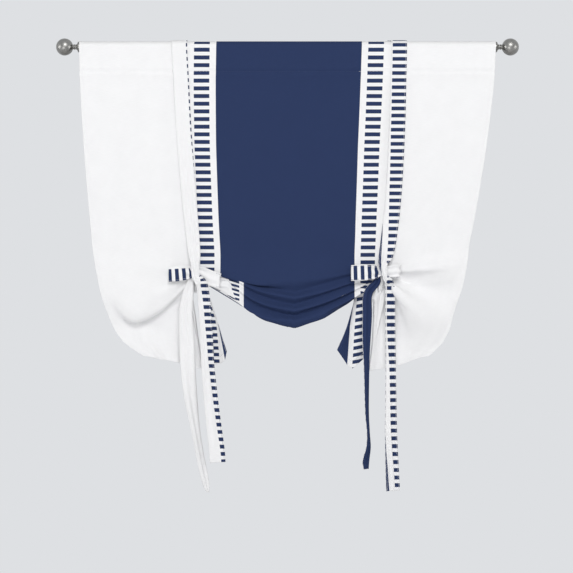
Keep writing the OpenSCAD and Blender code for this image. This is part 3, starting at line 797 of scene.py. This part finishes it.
def panel_lift(grid, x, down):
    """How far fan folds, soft waves, and the seam's puckers and ridges stand out."""
    fan_start = knot_flat + fan_gap
    lobe = between(np.abs(x), fan_start, fan_start + fan_blend, half_w - side_calm, half_w)
    pulls = np.where(x < 0, knot_pulls(grid, LEFT), knot_pulls(grid, RIGHT))
    waves = 0
    for depth, wide, high, phase in soft_wave_table:
        waves = waves + depth * np.sin(TURN * (x / wide + down / high) + phase)
    from_seam = down - pocket_depth
    pucker = bell(from_seam / pucker_reach) * np.sin(TURN * x / pucker_pitch)
    ridges = bell(from_seam / seam_reach) - bell(3 * from_seam / seam_reach)
    front = ease(from_seam / wave_blend)
    return (pulls * lobe + waves) * front + pucker_depth * pucker + seam_ridge * ridges


def cloth_thickness(row, x, down):
    """Thicker at the double hems, and thinner in the tight creases of the swag."""
    away = np.abs(x)
    past_side = ease((half_w - away - hem_w) / side_hem_blend)
    past_hem = ease((down[:, -1:] - down - hem_h) / hem_blend)
    in_hem = 1 - np.minimum(past_side, past_hem)
    creased = ease((away - crease_start) / crease_blend) * (away < knot_flat + slot_half)
    creased = creased * between(row, *crease_rows)
    return cloth_t * mix(1, hem_t_share, in_hem) * mix(1, crease_t_share, creased)


def make_panel():
    flat_x = panel_places()
    grid, rows = panel_grid(flat_x)
    top_row = turn_steps + wrap_steps // 2
    down = length_along(grid)
    down = down - down[:, top_row:top_row + 1]
    x = flat_x[:, None] + 0 * down
    row = rows[None, :] + 0 * x
    grid = grid + grid_out(grid) * panel_lift(grid, x, down)[..., None]
    thickness = cloth_thickness(row, x, down)
    place = panel_print(grid, row, x, down)
    panel = cloth_piece("shade_cloth", grid, thickness, place, place, panel_front)
    panel.data.materials.append(panel_back)
    m, n = grid.shape[:2]
    faces = (m - 1) * (n - 1)
    sides_of_cloth = np.zeros(len(panel.data.polygons), dtype=int)
    sides_of_cloth[faces:2 * faces] = 1
    panel.data.polygons.foreach_set("material_index", sides_of_cloth)
    return panel, grid, thickness, x, down


# Ties. A key is x, y, z, half width and the direction of the width.

LEVEL = [1, 0, 0]
UPRIGHT = [0, 0, 1]
RISING = [1, 0, 1]
FALLING = [-1, 0, 1]
LEVEL_BACK = [-1, 0, 0]


def tie_start(side, way):
    """From the top of the pocket down to the knot, in front (way -1) or behind (way 1)."""
    keys = []
    top_x = front_top_x[side] if way < 0 else side * tie_top_x
    for share in wrap_shares:
        angle = TURN / 4 * share
        y = pole_y + way * (pocket_half + tie_lift) * math.sin(angle)
        z = pole_z + (pocket_rise + tie_lift) * math.cos(angle)
        keys.append([top_x, y, z, tie_w / 2, *LEVEL])
    for share, run_in, width in zip(run_shares, front_run_in_shares[side], front_run_width_shares[side]):
        if way < 0:
            x = mix(top_x, front_knot_x[side], run_in)
            y = hang_y - tie_lift - (ripple_depth + run_lift) * share
            half = width * tie_w / 2
        else:
            x = mix(top_x, side * knot_x, share)
            y = mix(pole_y + pocket_half + tie_lift, hang_y + back_gap, share)
            half = mix(tie_w, tie_w * run_narrow_share, share ** 3) / 2
        keys.append([x, y, pole_z - share * gather_drop, half, *LEVEL])
    return keys


def bow_keys(side, table):
    """Keys near the knot: x, drop and half width are shares of tie_w, depth of bow_depth."""
    return [
        [
            side * knot_x + x * tie_w, hang_y - depth * bow_depth, knot_z - drop * tie_w,
            width * tie_w / 2, *across,
        ]
        for x, depth, drop, width, across in table
    ]


def tail_keys(side, table):
    """A hanging end: x is a share of tie_w, drop of tie_tail, and turn is degrees about the upright."""
    y = hang_y - tail_depth_share * bow_depth
    return [
        [
            side * knot_x + x * tie_w, y, knot_z - drop * tie_tail, width * tie_w / 2,
            math.cos(math.radians(turn)), math.sin(math.radians(turn)), 0,
        ]
        for x, drop, width, turn in table
    ]


# Steps round a loop of a bow: shares of its reach, of the way round and of its lift
loop_steps = [(0.6, 0, 0.6), (0.93, 0.15, 1), (1, 0.5, 1), (0.93, 0.85, 1), (0.6, 1, 0.6)]
loop_lift = 0.25


def loop_shares(reach, tilt, wide, way, first, last):
    """One loop, out and back: reach and tilt are its end, first and last its depths at the knot."""
    start, end = [[way * 0.3, depth, 0, 0.8 * wide, UPRIGHT] for depth in (first, last)]
    steps = [
        [way * share * reach, mix(first, last, along) + lift * loop_lift, share * tilt, wide, UPRIGHT]
        for share, along, lift in loop_steps
    ]
    return [start, *steps, end]


front_knot_shares = {
    LEFT: [
        [0.02, 0.55, -1, 0.72, LEVEL], [0.05, 1, -0.5, 0.52, LEVEL], [0.1, 1.04, 0.2, 0.5, LEVEL],
        [0.3, 1.08, 0.5, 0.62, LEVEL], [0.5, 1.08, 0.82, 0.72, LEVEL],
    ],
    RIGHT: [
        [0.32, 0.55, -1, 0.88, LEVEL], [0.14, 1, -0.5, 0.57, LEVEL], [0.28, 1.02, 0.25, 0.36, LEVEL],
        [0.5, 1, 0.6, 0.56, LEVEL],
    ],
}
under_shares = [
    [0, -0.42, -0.2, 0.6, LEVEL], [0, -0.42, 0.5, 0.42, LEVEL], [0, -0.36, 1, 0.36, LEVEL],
    [0, -0.1, 1.28, 0.28, LEVEL], [0, 0.2, 1.1, 0.28, LEVEL],
    [0.02, 0.32, 0.6, 0.34, LEVEL], [0, 0.34, 0.15, 0.34, RISING],
]
between_shares = [[0, 0.68, 0, 0.5, UPRIGHT]]
drop_shares = [
    [0, 0.46, 0.06, 0.36, UPRIGHT], [-0.2, 0.5, 0.28, 0.36, FALLING], [-0.26, 0.62, 0.65, 0.45, LEVEL_BACK],
]
# Columns of a tail are x, drop, half width and turn
front_tail_shares = {
    LEFT: [
        [0.62, 0.127, 0.76, 0], [0.72, 0.23, 0.78, 3], [0.8, 0.34, 0.8, 5],
        [0.87, 0.44, 0.82, 5], [1.14, 0.64, 0.92, 5], [1.42, 0.81, 1, 8], [1.48, 0.87, 1, 8],
    ],
    RIGHT: [
        [0.58, 0.06, 0.6, 5], [0.6, 0.12, 0.62, 10], [0.6, 0.25, 0.64, 15], [0.63, 0.43, 0.66, 15],
        [0.645, 0.72, 0.78, 15], [0.72, 0.9, 0.86, 12], [0.78, 1, 0.88, 10],
    ],
}
back_tail_shares = {
    LEFT: [
        [-0.4, 0.1, 0.7, 180], [-0.54, 0.19, 0.85, 180], [-0.48, 0.33, 0.95, 180], [-0.38, 0.45, 0.95, 195],
        [-0.2, 0.58, 0.95, 215], [0.11, 0.72, 0.9, 235], [0.4, 0.84, 0.9, 240], [0.72, 0.95, 0.7, 235],
        [0.86, 1.006, 0.16, 230],
    ],
    RIGHT: [
        [-0.8, 0.1, 0.56, 195], [-0.83, 0.2, 0.66, 207], [-0.87, 0.32, 0.66, 222], [-0.87, 0.43, 0.6, 236],
        [-0.86, 0.63, 0.55, 250], [-0.78, 0.73, 0.7, 260], [-0.76, 0.8, 0.75, 250], [-0.9, 0.86, 0.8, 238],
        [-0.9, 0.9, 0.5, 235],
    ],
}
# Reach, tilt and half width of the two loops of each bow
loops = {LEFT: [[1.6, 0.1, 1], [1.6, 0.55, 0.95]], RIGHT: [[1.86, 0.05, 1], [1.2, -0.1, 0.78]]}
near_depth_share = 0.36
front_depth_share = 0.8
back_depth_share = 0.46


def tie_grid(keys):
    """A grid along the keys, folded lengthwise where narrow, with its places across and along."""
    keys = np.array(keys, dtype=float)
    t = np.linspace(0, len(keys) - 1, tie_steps * (len(keys) - 1) + 1)
    frames = spline(keys, t)
    centre = frames[:, :3]
    tangent = np.gradient(centre, axis=0)
    out = unit(np.cross(tangent, frames[:, 4:7]))
    across = unit(np.cross(out, tangent))
    half = frames[:, 3]
    narrowed = np.clip(half / (tie_w / 2), 0.3, 1)
    folds = 2
    height = half * np.sqrt(2 * (1 / narrowed ** 2 - 1)) / (math.pi * folds)
    height = np.minimum(height, tie_crease_limit)
    s = np.linspace(-1, 1, tie_columns)[:, None]
    crease = height * np.cos(math.pi * folds * s + 0.6) + tie_crown * (1 - s * s)
    grid = centre + across * (half * s)[..., None] + out * crease[..., None]
    return grid, s, t, half


def make_tie(name, keys, front_centres, back_centres, print_way, print_starts, level_print=False):
    """A tie along its keys. The centres are where in the print its middle lies at each key, on each face."""
    grid, s, t, half = tie_grid(keys)
    length = length_along(grid)[tie_columns // 2]
    numbers = np.arange(len(keys))
    along = length + np.interp(t, numbers, print_starts) + 0 * s
    if level_print:
        along = along + grid[tie_columns // 2, :, 2] - grid[..., 2]
    faces = []
    for centres in (front_centres, back_centres):
        place = np.interp(t, numbers, centres) + print_way * s * half / tie_print_share
        faces.append(stacked(place, along / tie_print_share))
    tie = cloth_piece(name, grid, tie_t, *faces, tie_cloth)
    return tie, grid, length[-1]


def make_front_tie(side, name):
    its = front_print[side]
    keys = tie_start(side, -1) + bow_keys(side, front_knot_shares[side])
    keys = keys + tail_keys(side, front_tail_shares[side])
    fallen = [pole_z - key[2] for key in keys]
    halves = np.array([key[3] for key in keys])
    front = np.interp(fallen, its["drops"], its["places"]) + halves / tie_print_share
    back = np.full(len(keys), plain_place)
    starts = np.interp(fallen, its["drops"], its["starts"])
    return make_tie(name, keys, front, back, its["way"], starts, level_print=True)


def make_back_tie(side, name, face_place):
    """face_place is where in the print the face lies that shows behind the panel and on the tail."""
    first, second = loops[side]
    first_loop = loop_shares(*first, LEFT, near_depth_share, front_depth_share)
    second_loop = loop_shares(*second, RIGHT, front_depth_share, back_depth_share)
    start = tie_start(side, 1) + bow_keys(side, under_shares)
    striped = bow_keys(side, first_loop)
    plain = bow_keys(side, between_shares + second_loop + drop_shares)
    keys = start + striped + plain + tail_keys(side, back_tail_shares[side])
    front = np.full(len(keys), plain_place)
    front[len(start):len(start) + len(striped)] = stripe_places[side]
    back = np.full(len(keys), face_place)
    back[len(start) - len(under_shares):len(start)] = plain_place
    return make_tie(name, keys, front, back, 1, np.zeros(len(keys)))


# Sewing: rows of stitches that follow lines on the cloth

def stitch_tree():
    tree = bpy.data.node_groups.new("row of stitches", "GeometryNodeTree")
    add_socket(tree, "INPUT", "Lines", "Geometry")
    for name in ("Stitch pitch", "Stitch length", "Thread width"):
        add_socket(tree, "INPUT", name, "Float")
    add_socket(tree, "INPUT", "Thread", "Material")
    add_socket(tree, "OUTPUT", "Stitches", "Geometry")
    given = add_node(tree, "NodeGroupInput")
    curve = add_node(tree, "GeometryNodeMeshToCurve", {"Mesh": given["Lines"]})["Curve"]
    spacing = {"Curve": curve, "Length": given["Stitch pitch"]}
    spaced = add_node(tree, "GeometryNodeResampleCurve", spacing, mode="LENGTH")["Curve"]
    stitch = add_node(tree, "GeometryNodeMeshUVSphere", {"Segments": 6, "Rings": 4, "Radius": 0.5})["Mesh"]
    width = given["Thread width"]
    size = add_node(tree, "ShaderNodeCombineXYZ", {"X": given["Stitch length"], "Y": width, "Z": width})
    tangent = add_node(tree, "GeometryNodeInputTangent")["Tangent"]
    along = add_node(tree, "FunctionNodeAlignRotationToVector", {"Vector": tangent}, axis="X")
    laid = {
        "Points": spaced, "Instance": stitch, "Rotation": along["Rotation"], "Scale": size["Vector"],
    }
    sewn = add_node(tree, "GeometryNodeInstanceOnPoints", laid)["Instances"]
    real = add_node(tree, "GeometryNodeRealizeInstances", {"Geometry": sewn})["Geometry"]
    finish = add_node(tree, "GeometryNodeSetMaterial", {"Geometry": real, "Material": given["Thread"]})
    add_node(tree, "NodeGroupOutput", {"Stitches": finish["Geometry"]})
    return tree


def sew(name, lines, thread):
    """Stitches along each line of points, made a plain mesh."""
    mesh = bpy.data.meshes.new(name + "_lines")
    starts = np.cumsum([0] + [len(line) for line in lines])
    edges = [(start + i, start + i + 1) for start, line in zip(starts, lines) for i in range(len(line) - 1)]
    mesh.from_pydata(np.concatenate(lines).tolist(), edges, [])
    guide = add_object(name + "_lines", mesh)
    modifier = guide.modifiers.new("sewing", "NODES")
    modifier.node_group = stitch_rows
    values = {
        "Stitch pitch": stitch_pitch, "Stitch length": stitch_l, "Thread width": thread_w, "Thread": thread,
    }
    for item in stitch_rows.interface.items_tree:
        if item.name in values:
            modifier[item.identifier] = values[item.name]
    graph = bpy.context.evaluated_depsgraph_get()
    sewn = bpy.data.meshes.new_from_object(guide.evaluated_get(graph))
    guide.modifiers.clear()
    bpy.data.objects.remove(guide)
    sewn.name = name
    sewn.shade_smooth()
    return add_object(name, sewn)


stitch_rows = stitch_tree()
stitch_pitch = 0.004
stitch_l = 0.003
thread_w = 0.0008
stitch_sink = 0.0001
seam_in_share = 0.85


def point_at(column, values, target):
    """The point of a column where its rising values reach the target."""
    return np.array([np.interp(target, values, column[:, axis]) for axis in range(3)])


def panel_stitch_lines(grid, thickness, x, down):
    """Lines on both faces: the pocket's seam, the side hems and the bottom hem."""
    lines = []
    out = grid_out(grid)
    front = slice(turn_steps + wrap_steps, None)
    for way in (1, -1):
        face = grid + way * out * (thickness[..., None] / 2 - stitch_sink)
        lines.append(np.array([point_at(c[front], d[front], pocket_depth) for c, d in zip(face, down)]))
        hem_drops = down[:, -1] - seam_in_share * hem_h
        lines.append(np.array([point_at(c[front], d[front], h) for c, d, h in zip(face, down, hem_drops)]))
        for side in (LEFT, RIGHT):
            column = np.argmin(np.abs(x[:, 0] - side * (half_w - seam_in_share * hem_w)))
            lines.append(face[column])
    return lines


def tie_stitch_lines(grid, way):
    """A line near each edge of a tie, on its front (way 1) or its back (way -1)."""
    face = grid + way * grid_out(grid) * tie_t / 2
    return [face[1], face[-2]]


# Finials: turned from one profile

finial_steps = 72
foot_r = 0.015
neck_r = 0.0068
ball_r = 0.024
ball_reach = 0.040


def arc(middle, radius, start, end, count):
    """Points on an arc, as distances along the pole and from its axis."""
    angles = np.radians(np.linspace(start, end, count))
    return [(middle[0] + radius * math.cos(a), middle[1] + radius * math.sin(a)) for a in angles]


def finial_profile():
    rim = 0.0013
    bead = 0.0011
    bead_at = 0.0122
    flare_r = foot_r - rim - neck_r
    flare_start = 2.2 * rim
    join = math.degrees(math.asin(neck_r / ball_r))
    points = [(0, 0), (0, foot_r - rim)]
    points += arc((rim, foot_r - rim), rim, 180, 0, 9)
    points += arc((flare_start + flare_r, neck_r + flare_r), flare_r, 180, 270, 14)
    points += arc((bead_at, neck_r), bead, 180, 0, 9)
    points += arc((ball_reach, 0), ball_r, 180 - join, 0, 44)
    return points


def make_finial(side, name):
    """The profile turned about the pole's axis, with its poles closed."""
    profile = np.array(finial_profile())
    foot_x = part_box(name)[1].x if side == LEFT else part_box(name)[0].x
    along, radius = profile[1:-1, :, None].transpose(1, 0, 2)
    angles = TURN * np.arange(finial_steps) / finial_steps
    y = pole_y + radius * np.cos(angles)
    rings = stacked(foot_x + side * along, y, pole_z + radius * np.sin(angles))
    ends = [(foot_x, pole_y, pole_z), (foot_x + side * profile[-1, 0], pole_y, pole_z)]
    points = np.concatenate([ends, rings.reshape(-1, 3)])
    ring = np.arange(rings[..., 0].size).reshape(-1, finial_steps) + len(ends)
    ahead = np.roll(ring, -1, axis=1)
    faces = stacked(ring[:-1], ring[1:], ahead[1:], ahead[:-1]).reshape(-1, 4).tolist()
    faces += [(0, a, b) for a, b in zip(ring[0].tolist(), ahead[0].tolist())]
    faces += [(1, b, a) for a, b in zip(ring[-1].tolist(), ahead[-1].tolist())]
    if side == LEFT:
        faces = [face[::-1] for face in faces]
    return mesh_object(name + "_turned", points.tolist(), faces, nickel)


# The object

panel, panel_points, panel_thickness, panel_x, panel_down = make_panel()
panel_lines = panel_stitch_lines(panel_points, panel_thickness, panel_x, panel_down)
panel_stitches = sew("panel_stitches", panel_lines, white_thread)
for piece in (panel, panel_stitches):
    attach(piece, "blind")
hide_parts("shade_panel")

ties = {
    "left_front_tie": make_front_tie(LEFT, "left_front_strap"),
    "right_front_tie": make_front_tie(RIGHT, "right_front_strap"),
    "left_back_tie": make_back_tie(LEFT, "left_back_strap", plain_place),
    "right_back_tie": make_back_tie(RIGHT, "right_back_strap", navy_place),
}
for node, (tie, tie_points, tie_length) in ties.items():
    back_thread = navy_thread if node == "right_back_tie" else white_thread
    stitches = [
        sew(tie.name + "_stitches", tie_stitch_lines(tie_points, 1), white_thread),
        sew(tie.name + "_back_stitches", tie_stitch_lines(tie_points, -1), back_thread),
    ]
    for piece in (tie, *stitches):
        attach(piece, "blind")
    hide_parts(node)

for side, node, body in ((LEFT, "left_finial", "blind"), (RIGHT, "right_finial", "pole_extension")):
    finial = make_finial(side, node)
    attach(finial, body)
    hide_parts(node)

node_materials = {
    "outer_tube": nickel, "inner_tube": nickel, "left_bracket": nickel, "right_bracket": nickel,
    "left_clamp_screw": zinc, "right_clamp_screw": zinc, "left_finial_stud": zinc, "right_finial_stud": zinc,
    "left_end_plug": plug_plastic, "right_end_plug": plug_plastic,
}
for node, material in node_materials.items():
    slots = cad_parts[node].data.materials
    slots.clear()
    slots.append(material)


# Floor, light and camera

floor_z = -2.05
floor_r = 4.0
floor_steps = 96
floor_fade_start = 1.0
floor_fade_end = 3.2


def floor_material():
    """Pale and matt in the middle, and fading to the backdrop's colour further out."""
    material, tree, shader = new_material("pale floor")
    shader["Base Color"].default_value = white_cloth
    shader["Roughness"].default_value = 0.9
    away = add_node(tree, "ShaderNodeVectorMath", {0: object_place(tree)}, operation="LENGTH")["Value"]
    start, end = [math.hypot(reach, floor_z) for reach in (floor_fade_start, floor_fade_end)]
    matt = tree.nodes["Principled BSDF"].outputs[0]
    glow = add_node(tree, "ShaderNodeEmission", {"Color": backdrop})[0]
    faded = mix_shaders(tree, soft_step(tree, away, start, end), matt, glow)
    feed(tree, tree.nodes["Material Output"].inputs["Surface"], faded)
    return material


def make_floor():
    angles = TURN * np.arange(floor_steps) / floor_steps
    ring = stacked(floor_r * np.cos(angles), floor_r * np.sin(angles), floor_z).tolist()
    mesh_object("floor", ring, [list(range(floor_steps))], floor_material())


def make_world(light_level):
    """Even light from all round, and the plain backdrop for the camera, metal and glass."""
    world = bpy.data.worlds.new("studio")
    bpy.context.scene.world = world
    world.use_nodes = True
    tree = world.node_tree
    rays = add_node(tree, "ShaderNodeLightPath")
    seen = maths(tree, "MAXIMUM", rays["Is Camera Ray"], rays["Is Glossy Ray"])
    seen = maths(tree, "MAXIMUM", seen, rays["Is Transmission Ray"])
    soft = tree.nodes["Background"]
    soft.inputs["Color"].default_value = (1, 1, 1, 1)
    soft.inputs["Strength"].default_value = light_level
    plain = add_node(tree, "ShaderNodeBackground", {"Color": backdrop})[0]
    feed(tree, tree.nodes["World Output"].inputs["Surface"], mix_shaders(tree, seen, soft.outputs[0], plain))


def soft_box(name, place, aim, size, power):
    lamp = bpy.data.lights.new(name, "AREA")
    lamp.size = size
    lamp.energy = power
    holder = add_object(name, lamp)
    holder.location = place
    aimed = np.array(aim) - np.array(place)
    flat = math.hypot(aimed[0], aimed[1])
    holder.rotation_euler = (math.atan2(flat, -aimed[2]), 0, math.atan2(-aimed[0], aimed[1]))


photo_px = 573
mm_per_px = 2.8
camera_distance = 6.0
camera_x = -0.0028
camera_z = -0.6428


def make_camera():
    lens = bpy.data.cameras.new("camera")
    lens.sensor_width = 36
    lens.lens = lens.sensor_width * camera_distance / (photo_px * mm_per_px / 1000)
    camera = add_object("camera", lens)
    camera.location = (camera_x, hang_y - camera_distance, camera_z)
    camera.rotation_euler = (TURN / 4, 0, 0)
    bpy.context.scene.camera = camera


make_floor()
make_world(0.34)
soft_box("key light", (0.5, -4.2, 2.3), (0.1, hang_y, -0.5), 2.3, 117)
soft_box("fill light", (-1.0, -3.8, -1.4), (-0.1, hang_y, -0.6), 2.2, 34)
soft_box("left side light", (-2.9, -1.1, 0), (-0.6, pole_y, pole_z), 1.0, 14)
soft_box("right side light", (2.9, -1.1, 0), (0.6, pole_y, pole_z), 1.0, 12)
make_camera()
bpy.context.scene.view_settings.view_transform = "Standard"
